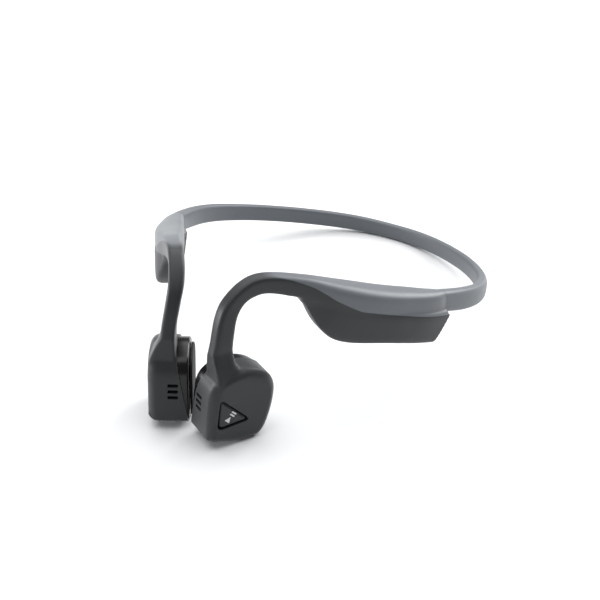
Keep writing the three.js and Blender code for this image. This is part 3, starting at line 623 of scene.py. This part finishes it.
def two_tone(name, dark, light, **rest):
    """A dark and a light rubber, parted where the surface's tone passes zero."""
    material = shader(name, dark, **rest)
    nodes, links = material.node_tree.nodes, material.node_tree.links
    principled = nodes["Principled BSDF"]
    dark_mix = principled.inputs["Base Color"].links[0].from_node
    pale = nodes.new("ShaderNodeMix")
    pale.data_type = "RGBA"
    pale.inputs["A"].default_value = (*[c * 0.94 for c in light], 1)
    pale.inputs["B"].default_value = (*[c * 1.06 for c in light], 1)
    links.new(dark_mix.inputs["Factor"].links[0].from_socket, pale.inputs["Factor"])
    where = nodes.new("ShaderNodeAttribute")
    where.attribute_name = "tone"
    edge = nodes.new("ShaderNodeMapRange")
    edge.inputs["From Min"].default_value = -0.12
    edge.inputs["From Max"].default_value = 0.12
    links.new(where.outputs["Fac"], edge.inputs["Value"])
    both = nodes.new("ShaderNodeMix")
    both.data_type = "RGBA"
    links.new(edge.outputs["Result"], both.inputs["Factor"])
    links.new(dark_mix.outputs["Result"], both.inputs["A"])
    links.new(pale.outputs["Result"], both.inputs["B"])
    links.new(both.outputs["Result"], principled.inputs["Base Color"])
    return material


def perforated(name, color, pitch):
    """Metal gauze: fine holes in rows, painted near-black as painted shade for the dark inside seen through
    them.
    """
    material = shader(name, color, 0.4, metallic=1.0)
    nodes, links = material.node_tree.nodes, material.node_tree.links
    principled = nodes["Principled BSDF"]
    place_node = next(n for n in nodes if n.type == "TEX_COORD")
    cells = nodes.new("ShaderNodeTexVoronoi")
    cells.inputs["Scale"].default_value = 1 / pitch
    cells.inputs["Randomness"].default_value = 0.0
    links.new(place_node.outputs["Object"], cells.inputs["Vector"])
    holes = nodes.new("ShaderNodeMapRange")
    holes.inputs["From Min"].default_value = 0.3
    holes.inputs["From Max"].default_value = 0.4
    links.new(cells.outputs["Distance"], holes.inputs["Value"])
    mix = nodes.new("ShaderNodeMix")
    mix.data_type = "RGBA"
    # The holes' near-black is painted shade: the dark inside seen through the gauze.
    mix.inputs["A"].default_value = (0.003, 0.003, 0.003, 1)
    mix.inputs["B"].default_value = (*color, 1)
    links.new(holes.outputs["Result"], mix.inputs["Factor"])
    links.new(mix.outputs["Result"], principled.inputs["Base Color"])
    return material


DARK = (0.024, 0.0262, 0.029)
LIGHT = (0.125, 0.135, 0.147)
RUBBER_FINISH = dict(roughness=0.42, specular=0.28, grain=2200)
TWO_TONE = two_tone("satin_rubber", DARK, LIGHT, sheen=0.2, **RUBBER_FINISH)
BAND_RUBBER = shader("band_rubber", LIGHT, **RUBBER_FINISH)
SHELL = shader("matte_shell", DARK, 0.48, specular=0.36, grain=2600, bump=0.05)
GLOSS = shader("gloss_black", (0.006, 0.006, 0.007), 0.24, specular=0.32, variation=0.02, bump=0.0,
               rough_variation=0.02)
SATIN_BLACK = shader("satin_black", (0.02, 0.021, 0.023), 0.4, specular=0.4, variation=0.02, bump=0.01)
PAD = shader("soft_pad", (0.007, 0.007, 0.008), 0.6, specular=0.16)
MARK = shader("white_mark", (0.62, 0.63, 0.63), 0.5, variation=0.03)
LENS = shader("lamp_lens", (0.55, 0.56, 0.55), 0.25, variation=0.02, bump=0.0)
METAL = shader("satin_steel", (0.48, 0.48, 0.49), 0.32, metallic=1.0)
TITANIUM = shader("drawn_titanium", (0.33, 0.33, 0.35), 0.38, metallic=1.0)
COPPER = shader("enamelled_copper", (0.42, 0.15, 0.05), 0.35, metallic=0.8)
BOARD = shader("solder_mask", (0.015, 0.10, 0.045), 0.4)
FOIL = shader("pouch_foil", (0.55, 0.56, 0.58), 0.35, metallic=0.9)
GAUZE = perforated("vent_gauze", (0.03, 0.03, 0.032), 0.00035)

# ------------------------------------------------------------------ arms: hook, strip, neck and pod shell

HANDS = {1: "left", -1: "right"}
POD_POINTS = np.maximum(smooth_outline(POD_OUTLINE), (-20, 0))


def bevel_levels(inner, outer, edge, steps=8):
    """Levels of a slab whose outer edge is a chamfer with soft ends."""
    turn = np.linspace(0, math.pi / 2, steps + 1)
    reach = 2 / CHAMFER_POWER
    return [(inner, 0)] + [
        (outer - edge + edge * math.sin(a) ** reach, edge * (1 - abs(math.cos(a)) ** reach)) for a in turn
    ]


def side_view_tool(outline, inner, outer, side, name="tool"):
    """Everything inside an outline of [run, height], between two laterals."""
    outline = np.asarray(outline, float)
    rings = np.array([place(np.full(len(outline), lateral), outline[:, 0], outline[:, 1])
                      for lateral in (inner, outer)])
    return mesh_object(name, rings, ring_faces(2, len(outline)), side)


def seam_line():
    """The lower edge of the strip over the box, and on under the band, as [run, height]."""
    under = spline(HOOK_UNDER, np.linspace(0.5, 1, 500))
    under = under[under[:, 0] > NOSE_RUN]
    past = np.linspace(SEAM_RUN, SEAM_RUN + 3, 8)
    return np.vstack([under[::6], np.column_stack([past, band_edges(past)[:, 0] - 0.05])])


def arm_body(side):
    """Hook, neck, pod and box as one smooth body, before it is parted along its seams."""
    def corners(share):
        """Over the box, the hook's lower half grows square and its upper outer corner round."""
        on_box = np.clip((share - 0.5) / 0.12, 0, 1)
        plain = np.full_like(share, RUBBER_SQUARENESS)
        return plain + 5 * on_box, plain, plain - 1.6 * on_box

    hook = loft(hook_section, np.linspace(0, 1, 190), 56, corners, "hook", side)
    neck = loft(neck_section, np.linspace(0, 1, 40), 56, RUBBER_SQUARENESS, "neck", side)
    pod = prism(POD_POINTS, bevel_levels(-9, POD_OUTER, POD_EDGE), pod_frame, "pod", side)

    def between(share):
        """The short piece from the neck's top end to the hook's front end."""
        below, above = neck_section(np.full_like(share, 0.93)), hook_section(np.full_like(share, 0.03))
        column = share[:, None]
        edges = [low * (1 - column) + high * column for low, high in zip(below[:2], above[:2])]
        laterals = [low * (1 - share) + high * share for low, high in zip(below[2:], above[2:])]
        return (*edges, *laterals)

    def root(share):
        """The lump that joins the box's front end to the hook."""
        column = share[:, None]
        lower, upper = (
            np.array([start]) * (1 - column) + np.array([end]) * column
            for start, end in (ROOT_LOWER, ROOT_UPPER)
        )
        return lower, upper, np.full_like(share, -2.4), 2.7 - 0.4 * share

    def box(share):
        """The box, reaching up into the hook behind its front end."""
        lower, upper, inner, outer = box_section(share)
        up = (upper - lower) / np.linalg.norm(upper - lower, axis=1, keepdims=True)
        return lower, upper + up * BOX_OVERLAP * np.clip(share / 0.08, 0, 1)[:, None], inner, outer

    def tail(share):
        """The start of the band, so that the skin runs on past the seam, where it is cut."""
        return band_section(SEAM_RUN - 0.6 + 3.4 * share)

    parts = [
        neck, pod,
        loft(between, np.linspace(0, 1, 6), 56, RUBBER_SQUARENESS, "between", side),
        loft(root, np.linspace(0, 1, 8), 48, 3.0, "root", side),
        loft(box, np.linspace(0, 1, 110), 88, BOX_SQUARENESS, "box", side),
        loft(tail, np.linspace(0, 1, 12), 56, BAND_SQUARENESS, "tail", side),
    ]
    body = boolean(hook, parts, "UNION")
    remesh(body, SKIN_VOXEL, SKIN_SMOOTHING)
    _, run, height = developed(coordinates(body), side)
    weights = np.zeros(len(run))
    spots = [(run - POD_RUN, *fillet) for fillet in POD_FILLETS] + [(run, *NOSE_FILLET)]
    for along, at, up, reach in spots:
        near = 1 - np.hypot(along - at, height - up) / reach
        weights = np.maximum(weights, np.clip(near, 0, 1))
    line = seam_line()
    off_seam = np.abs(height - np.interp(run, line[:, 0], line[:, 1]))
    along_seam = np.clip(1.2 - off_seam / SEAM_REACH, 0, 1) * np.interp(run, *zip(*SEAM_FILLET))
    weights = np.maximum(weights, along_seam)
    return soften(body, np.clip(weights * FILLET_STRENGTH, 0, 1), FILLET_PASSES)


def copy_of(obj, name):
    twin = bpy.data.objects.new(name, obj.data.copy())
    bpy.context.scene.collection.objects.link(twin)
    return twin


def box_side(side):
    """Everything on the box's side of the seam."""
    line = seam_line()
    return side_view_tool([(NOSE_RUN, 5), *line, (line[-1][0], 5)], -14, 14, side)


def head_side(side):
    """Everything on the head's side of the pod's slanted rim."""
    half = 30.0
    corners = ((-half, -8), (half, -8), (half, RIM_TOP), (-half, RIM_TOP))
    rim = [
        (RIM_AT_GROUND + RIM_SLOPE * height - depth, rear, height)
        for depth in (0, 20) for rear, height in corners
    ]
    return mesh_object("rim", pod_frame(np.array(rim)), CUBE_FACES, side)


def arm_tone(obj, side):
    """How far each vertex lies above the line between the dark hook and the light strip, in millimetres."""
    _, run, height = developed(coordinates(obj), side)
    along = np.linspace(0.35, 1, 400)
    top, under = spline(HOOK_TOP, along), spline(HOOK_UNDER, along)
    upper = np.interp(run, top[:, 0], top[:, 1])
    lower = np.interp(run, under[:, 0], under[:, 1])
    share = np.interp(run, *zip(*TONE_LINE))
    above = height - (lower + (upper - lower) * share)
    # The line between the two tones is softer towards the hook's front.
    above *= np.interp(run, (TONE_LINE[0][0], NOSE_RUN), (0.3, 1))
    above[run < TONE_LINE[0][0]] = -1
    tone = obj.data.attributes.new("tone", "FLOAT", "POINT")
    tone.data.foreach_set("value", np.clip(above, -1, 1))


def slot_tools(side):
    """The three slots through the pod's front."""
    half_width, half_height = (size / 2 for size in SLOT_SIZE)
    corners = [
        (-half_width, -half_height), (half_width, -half_height), (half_width, half_height),
        (-half_width, half_height),
    ]
    shape = rounded_polygon(corners, SLOT_ROUNDING, 4)
    tools = []
    for i in range(SLOT_COUNT):
        height = SLOT_HEIGHT + (i - (SLOT_COUNT - 1) / 2) * SLOT_PITCH
        rings = np.array([
            np.column_stack([SLOT_LATERAL + shape[:, 0], np.full(len(shape), rear), height + shape[:, 1]])
            for rear in (-12, -6)
        ])
        tools.append(mesh_object("slot", pod_frame(rings), ring_faces(2, len(shape)), side))
    return tools


def arm_shell(side, box_name):
    """The arm's two-tone skin, hollow in the pod, and the box's skin that is parted from it at the seam."""
    hand = HANDS[side]
    shell = arm_body(side)
    box = copy_of(shell, "box")
    boolean(box, [box_side(side)], "INTERSECT")
    inside = [(-12, 0), (POD_OUTER - POD_WALL, 0)]
    hollow = prism(spoke_inset(POD_POINTS, POD_WALL), inside, pod_frame, "hollow", side)
    beyond = SEAM_RUN + 5
    past = side_view_tool([(SEAM_RUN, 10), (beyond, 10), (beyond, 35), (SEAM_RUN, 35)], -9, 9, side)
    tools = [box_side(side), past, hollow, head_side(side), *slot_tools(side)]
    if side > 0:
        outline = rounded_polygon(BUTTON_CORNERS, BUTTON_ROUNDING)
        tools.append(prism(outline, [(2, 0), (9, 0)], pod_frame, "opening", side))
    boolean(shell, tools)
    arm_tone(shell, side)
    finished(shell, f"arm_skin_{hand}", TWO_TONE, f"arm_{hand}",
             (f"ear_hook_{hand}", f"pod_shell_{hand}"), sharp=38)
    box_parts(box, side, box_name)


def pod_parts(side):
    """The glossy capsule in the pod's open side, and the contact pad on it."""
    hand = HANDS[side]
    rim_tilt = math.atan(RIM_SLOPE) - math.atan(MOTOR_SLOPE)

    def around_axis(distance):
        return spoke_inset(POD_POINTS, distance) - MOTOR_CENTRE

    levels = rounded_levels(CAPSULE_FACE, 4, CAPSULE_EDGE)
    flange = prism(around_axis(CAPSULE_INSET), levels, motor_frame, "flange", side)
    outward = [
        (-GAP * 0.55 + depth * math.cos(rim_tilt) + h * math.sin(rim_tilt), r,
         -depth * math.sin(rim_tilt) + h * math.cos(rim_tilt))
        for depth in (0, 20) for r, h in ((-30, -30), (30, -30), (30, 30), (-30, 30))
    ]
    outside = mesh_object("outside", motor_frame(np.array(outward)), CUBE_FACES, side)
    boolean(flange, [outside])
    levels = [(CAPSULE_FACE + CAPSULE_EDGE, 0), (0.9, 0)]
    lip = prism(around_axis(POD_WALL + GAP), levels, motor_frame, "lip", side)
    boolean(flange, [lip], "UNION")
    levels = [(CAPSULE_FACE + CAPSULE_FLOOR, 0), (3, 0)]
    hollow = prism(around_axis(POD_WALL + CAPSULE_WALL), levels, motor_frame, "hollow", side)
    boolean(flange, [hollow, disc(BORE_RADIUS, -9, 3, motor_frame, side=side)])
    finished(flange, f"capsule_skin_{hand}", GLOSS, f"arm_{hand}",
             (f"capsule_{hand}",), sharp=35)

    levels = rounded_levels(PAD_FACE, PAD_BACK, PAD_EDGE)
    plate = prism(around_axis(PAD_INSET), levels, motor_frame, "plate", side)
    boss = disc(BOSS_RADIUS, PAD_BACK - 0.2, 0.6, motor_frame, name="boss", side=side)
    boolean(plate, [boss], "UNION")
    finished(plate, f"contact_pad_skin_{hand}", PAD, f"transducer_{hand}",
             (f"contact_pad_{hand}",), sharp=40)


# ------------------------------------------------------------------ boxes


def box_parts(shell, side, name):
    """The box's skin, hollowed and with the right box's holes, and the cover on its head side."""
    body = f"arm_{HANDS[side]}"
    start, end = BOX_CAVITY
    cavity = np.linspace(start, end, 60)
    hollow = loft(
        lambda s: box_hollow(s, BOX_WALL, np.full_like(s, -9.0), through(BOX_WIDTHS, s)[:, 1] - BOX_WALL),
        cavity, 48, 5, "hollow", side,
    )
    tools = [hollow]
    if side < 0:
        def hole(rear, length, width, depth=3.0):
            return post((CONTROL_LATERAL, rear), length + 2 * GAP, width + 2 * GAP,
                        UNDERSIDE - 2, UNDERSIDE + depth, side=side)
        tools += [hole(rear, *VOLUME_SIZE) for rear in VOLUME_RUNS]
        tools.append(hole(LAMP_REAR, LAMP_SIZE, LAMP_SIZE))
        tools.append(hole(SOCKET_REAR, *PORT_SIZE))
        tools.append(hole(SOCKET_REAR, *COVER_SIZE, depth=COVER_DEPTH + GAP))
    boolean(shell, tools)
    finished(shell, f"{name}_shell_skin", SHELL, body, (f"{name}_shell",), sharp=38)

    def plate(s):
        inner = through(BOX_WIDTHS, s)[:, 0]
        return box_hollow(s, BOX_WALL + GAP, inner, inner + BOX_COVER)

    cover = loft(plate, np.linspace(start + COVER_MARGIN, end - COVER_MARGIN, 60), 64, 5, "cover", side)
    bevel(cover, 0.2, 55, 2)
    finished(cover, f"{name}_cover_skin", SHELL, body, (f"{name}_cover",), sharp=45)


def mark(prisms, to_row, name, body, side):
    """A printed mark of flat prisms, each (low, high, outline), that stand just proud of their face."""
    verts, faces = [], []
    for low, high, outline in prisms:
        base = len(verts)
        rings = to_row(low, high, np.asarray(outline, float))
        verts += [tuple(v) for v in rings.reshape(-1, 3)]
        faces += [tuple(base + i for i in f) for f in ring_faces(2, len(outline))]
    obj = mesh_object(name, verts, faces, side)
    return finished(obj, name, MARK, body, sharp=30)


def button_parts():
    """The triangular button's cap on the left pod, with a play and pause mark."""
    outline = rounded_polygon(spoke_inset(BUTTON_CORNERS, CAP_INSET, BUTTON_CENTRE), CAP_ROUNDING)
    face = POD_OUTER - CAP_DEPTH
    cap = prism(outline, rounded_levels(CAP_BACK, face, 0, CAP_EDGE), pod_frame, "cap", 1)
    finished(cap, "multifunction_button_skin", SHELL, "multifunction_button",
             ("multifunction_button",), sharp=40)

    def on_face(low, high, shape):
        turn = math.radians(45)
        x = BUTTON_CENTRE[0] + 0.1 + shape[:, 0] * math.cos(turn) - shape[:, 1] * math.sin(turn)
        z = BUTTON_CENTRE[1] - 0.2 + shape[:, 0] * math.sin(turn) + shape[:, 1] * math.cos(turn)
        rings = [np.column_stack([np.full(len(x), level), x, z]) for level in (low, high)]
        return pod_frame(np.array(rings))

    low, high = face - 0.1, face + 0.04
    triangle = rounded_polygon([(-1.5, -0.85), (0.1, 0), (-1.5, 0.85)], 0.12, 4)
    width, half = 0.42, 0.8
    bars = [
        rounded_polygon([(x, -half), (x + width, -half), (x + width, half), (x, half)], 0.1, 4)
        for x in (0.45, 1.2)
    ]
    mark([(low, high, shape) for shape in (triangle, *bars)], on_face, "play_pause_mark",
         "multifunction_button", 1)


def control_parts():
    """The two volume caps with their marks and the charging port's cover, under the right box."""
    inside = UNDERSIDE + BOX_WALL
    for name, rear, plus in (("volume_up", VOLUME_RUNS[0], True), ("volume_down", VOLUME_RUNS[1], False)):
        at = (CONTROL_LATERAL, rear)
        cap = post(at, *VOLUME_SIZE, UNDERSIDE - 0.1, inside + 0.35, edge=0.25)
        body = f"{name}_button"
        finished(cap, f"{body}_skin", SATIN_BLACK, body, (body,), sharp=40)

        def under(low, high, shape, at=at):
            return box_frame(np.array([
                np.column_stack([at[0] + shape[:, 1], at[1] + shape[:, 0], np.full(len(shape), level)])
                for level in (low, high)
            ]))

        reach, half = 0.7, 0.13
        shape = [(-reach, -half), (reach, -half), (reach, half), (-reach, half)]
        if plus:
            shape = [
                (-reach, -half), (-half, -half), (-half, -reach), (half, -reach), (half, -half),
                (reach, -half), (reach, half), (half, half), (half, reach), (-half, reach), (-half, half),
                (-reach, half),
            ]
        mark([(UNDERSIDE - 0.14, UNDERSIDE + 0.05, shape)], under, f"{name}_mark", body, -1)

    at = (CONTROL_LATERAL, SOCKET_REAR)
    lid = post(at, *COVER_SIZE, UNDERSIDE, UNDERSIDE + COVER_DEPTH, edge=0.2)
    plug_size = [size - 2 * GAP for size in PORT_SIZE]
    plug = post(at, *plug_size, UNDERSIDE + 0.3, inside + 0.05)
    boolean(lid, [plug], "UNION")
    finished(lid, "charging_port_cover_skin", PAD, "charging_port_cover",
             ("charging_port_cover",), sharp=40)


# ------------------------------------------------------------------ neckband


def band_half(side):
    """One half of the band with the wire and the lead in it. The ends of the bend at the hinge are found
    but not used.
    """
    hand = HANDS[side]
    middle = LOOP_LENGTH / 2
    runs = np.concatenate([np.linspace(SEAM_RUN + 0.03, 80, 40), np.linspace(80, middle, 160)[1:]])
    skin = loft(band_section, runs, 56, BAND_SQUARENESS, "band", side)
    start, end = (
        Vector(place(0, run, 8) * (side, 1, 1) * MM) for run in (HINGE_RUN - BEND, HINGE_RUN + BEND)
    )
    nodes = [f"side_sleeve_{hand}"] + (["neckband_sleeve"] if side > 0 else [])
    finished(skin, f"neckband_skin_{hand}", BAND_RUBBER, None, nodes, sharp=60)
    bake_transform(skin)

    def hook_line(shares, across):
        lower, upper, inner, outer = hook_section(shares)
        mid = (lower + upper) / 2
        return place((inner + outer) / 2 + across, mid[:, 0], mid[:, 1])

    def band_line(from_run, above):
        at = np.linspace(from_run, middle, 90)
        edges = band_edges(at)
        return place(0, at, edges.mean(axis=1) + above)

    def smooth_path(points, count):
        return spline(points, np.linspace(0, 1, count))

    wire = np.vstack([hook_line(np.linspace(0, 0.97, 60), WIRE_LATERAL), band_line(74, CORE_RISE)])
    wire = smooth_path(wire[::3], 220)
    rod = tube(wire, WIRE_RADIUS, name="wire", side=side)
    rear = ["frame_wire_rear"] if side > 0 else []
    finished(rod, f"frame_wire_skin_{hand}", TITANIUM, None, [f"frame_wire_{hand}", *rear])
    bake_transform(rod)

    entry = place(np.array([1.0, 1.0, 0.9, 0.6, 0.2]), np.array([60.8, 61.6, 63.4, 66.6, 70.5]),
                  np.array([20.9, 22.5, 24.0, 24.0, 22.5]))
    lead = smooth_path(np.vstack([entry, band_line(74, -CORE_RISE)[::3]]), 180)
    cord = tube(lead, LEAD_RADIUS, name="lead", side=side)
    rear = ["band_lead_rear"] if side > 0 else []
    finished(cord, f"band_lead_skin_{hand}", COPPER, None, [f"band_lead_{hand}", *rear])
    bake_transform(cord)


for side, box_name in ((1, "battery_box"), (-1, "control_box")):
    arm_shell(side, box_name)
    pod_parts(side)
    band_half(side)
button_parts()
control_parts()

# ------------------------------------------------------------------ carried-over nodes

KEPT = {
    "button_dome": METAL, "button_board": BOARD, "battery_cell": FOIL, "battery_board": BOARD,
    "battery_foam": PAD, "volume_up_switch": METAL, "volume_down_switch": METAL, "lamp_lens": LENS,
    "main_board": BOARD, "radio_shield": METAL, "charging_socket": METAL,
}
KEPT_BY_HAND = {
    "hook_lead": COPPER, "coil_former": PAD, "voice_coil": COPPER, "spring_plate": METAL, "yoke_cup": METAL,
    "magnet": METAL, "top_plate": METAL, "vent_mesh": GAUZE, "microphone": FOIL,
}
for stem, material in KEPT_BY_HAND.items():
    for hand in HANDS.values():
        KEPT[f"{stem}_{hand}"] = material
for node, material in KEPT.items():
    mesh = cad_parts[node].data
    mesh.materials.clear()
    mesh.materials.append(material)

# ------------------------------------------------------------------ floor, light and camera


def floor():
    """A floor in metres, a hair under the object."""
    size, rows = 6.0, 24
    grid = np.linspace(-size, size, rows + 1)
    x, y = np.meshgrid(grid, grid)
    verts = np.stack([x, y, np.full_like(x, -0.00002)], -1).reshape(-1, 3)
    line = rows + 1
    corners = [r * line + c for r in range(rows) for c in range(rows)]
    faces = [(at, at + 1, at + line + 1, at + line) for at in corners]
    obj = mesh_object("floor", verts, faces)
    pale = shader("pale_floor", (0.83, 0.835, 0.845), 0.7, specular=0.2, variation=0.01, grain=300,
                  bump=0.02)
    obj.data.materials.append(pale)


def area_light(name, place_at, target, size, power_w):
    light = bpy.data.lights.new(name, "AREA")
    light.shape = "RECTANGLE"
    light.size, light.size_y = size
    light.energy = power_w
    obj = bpy.data.objects.new(name, light)
    obj.location = place_at
    obj.rotation_euler = (Vector(target) - Vector(place_at)).to_track_quat("-Z", "Y").to_euler()
    bpy.context.scene.collection.objects.link(obj)


def camera(place_at, azimuth, elevation, roll, lens):
    """A camera in front of the object: the azimuth turns it to the left arm, the elevation upwards."""
    data = bpy.data.cameras.new("camera")
    data.sensor_width = 36
    data.lens = lens
    data.clip_start = 0.01
    obj = bpy.data.objects.new("camera", data)
    azimuth, elevation, roll = (math.radians(angle) for angle in (azimuth, elevation, roll))
    level = math.cos(elevation)
    forward = Vector((-math.sin(azimuth) * level, math.cos(azimuth) * level, -math.sin(elevation)))
    right = Vector((math.cos(azimuth), math.sin(azimuth), 0))
    up = right.cross(forward)
    rolled_right = right * math.cos(roll) + up * math.sin(roll)
    rolled_up = up * math.cos(roll) - right * math.sin(roll)
    turn = Matrix((rolled_right, rolled_up, -forward)).transposed()
    obj.matrix_world = Matrix.Translation(place_at) @ turn.to_4x4()
    bpy.context.scene.collection.objects.link(obj)
    bpy.context.scene.camera = obj


floor()
area_light("overhead", (-0.25, 0.25, 1.3), (0, 0, 0), (2.4, 2.4), 42.0)
area_light("left_window", (-1.05, -0.6, 0.17), (0, 0, 0.02), (0.5, 0.25), 9.0)
area_light("back_right", (0.45, 1.2, 0.6), (0, 0, 0.02), (0.8, 0.6), 16.0)
camera((0.1174, -0.24166, 0.1662), azimuth=26.3, elevation=30.6, roll=3.4, lens=62.28)

world = bpy.data.worlds.new("studio")
world.use_nodes = True
background = world.node_tree.nodes["Background"]
background.inputs["Color"].default_value = (0.95, 0.97, 1.0, 1)
background.inputs["Strength"].default_value = 0.2
bpy.context.scene.world = world
bpy.context.scene.view_settings.view_transform = "Standard"
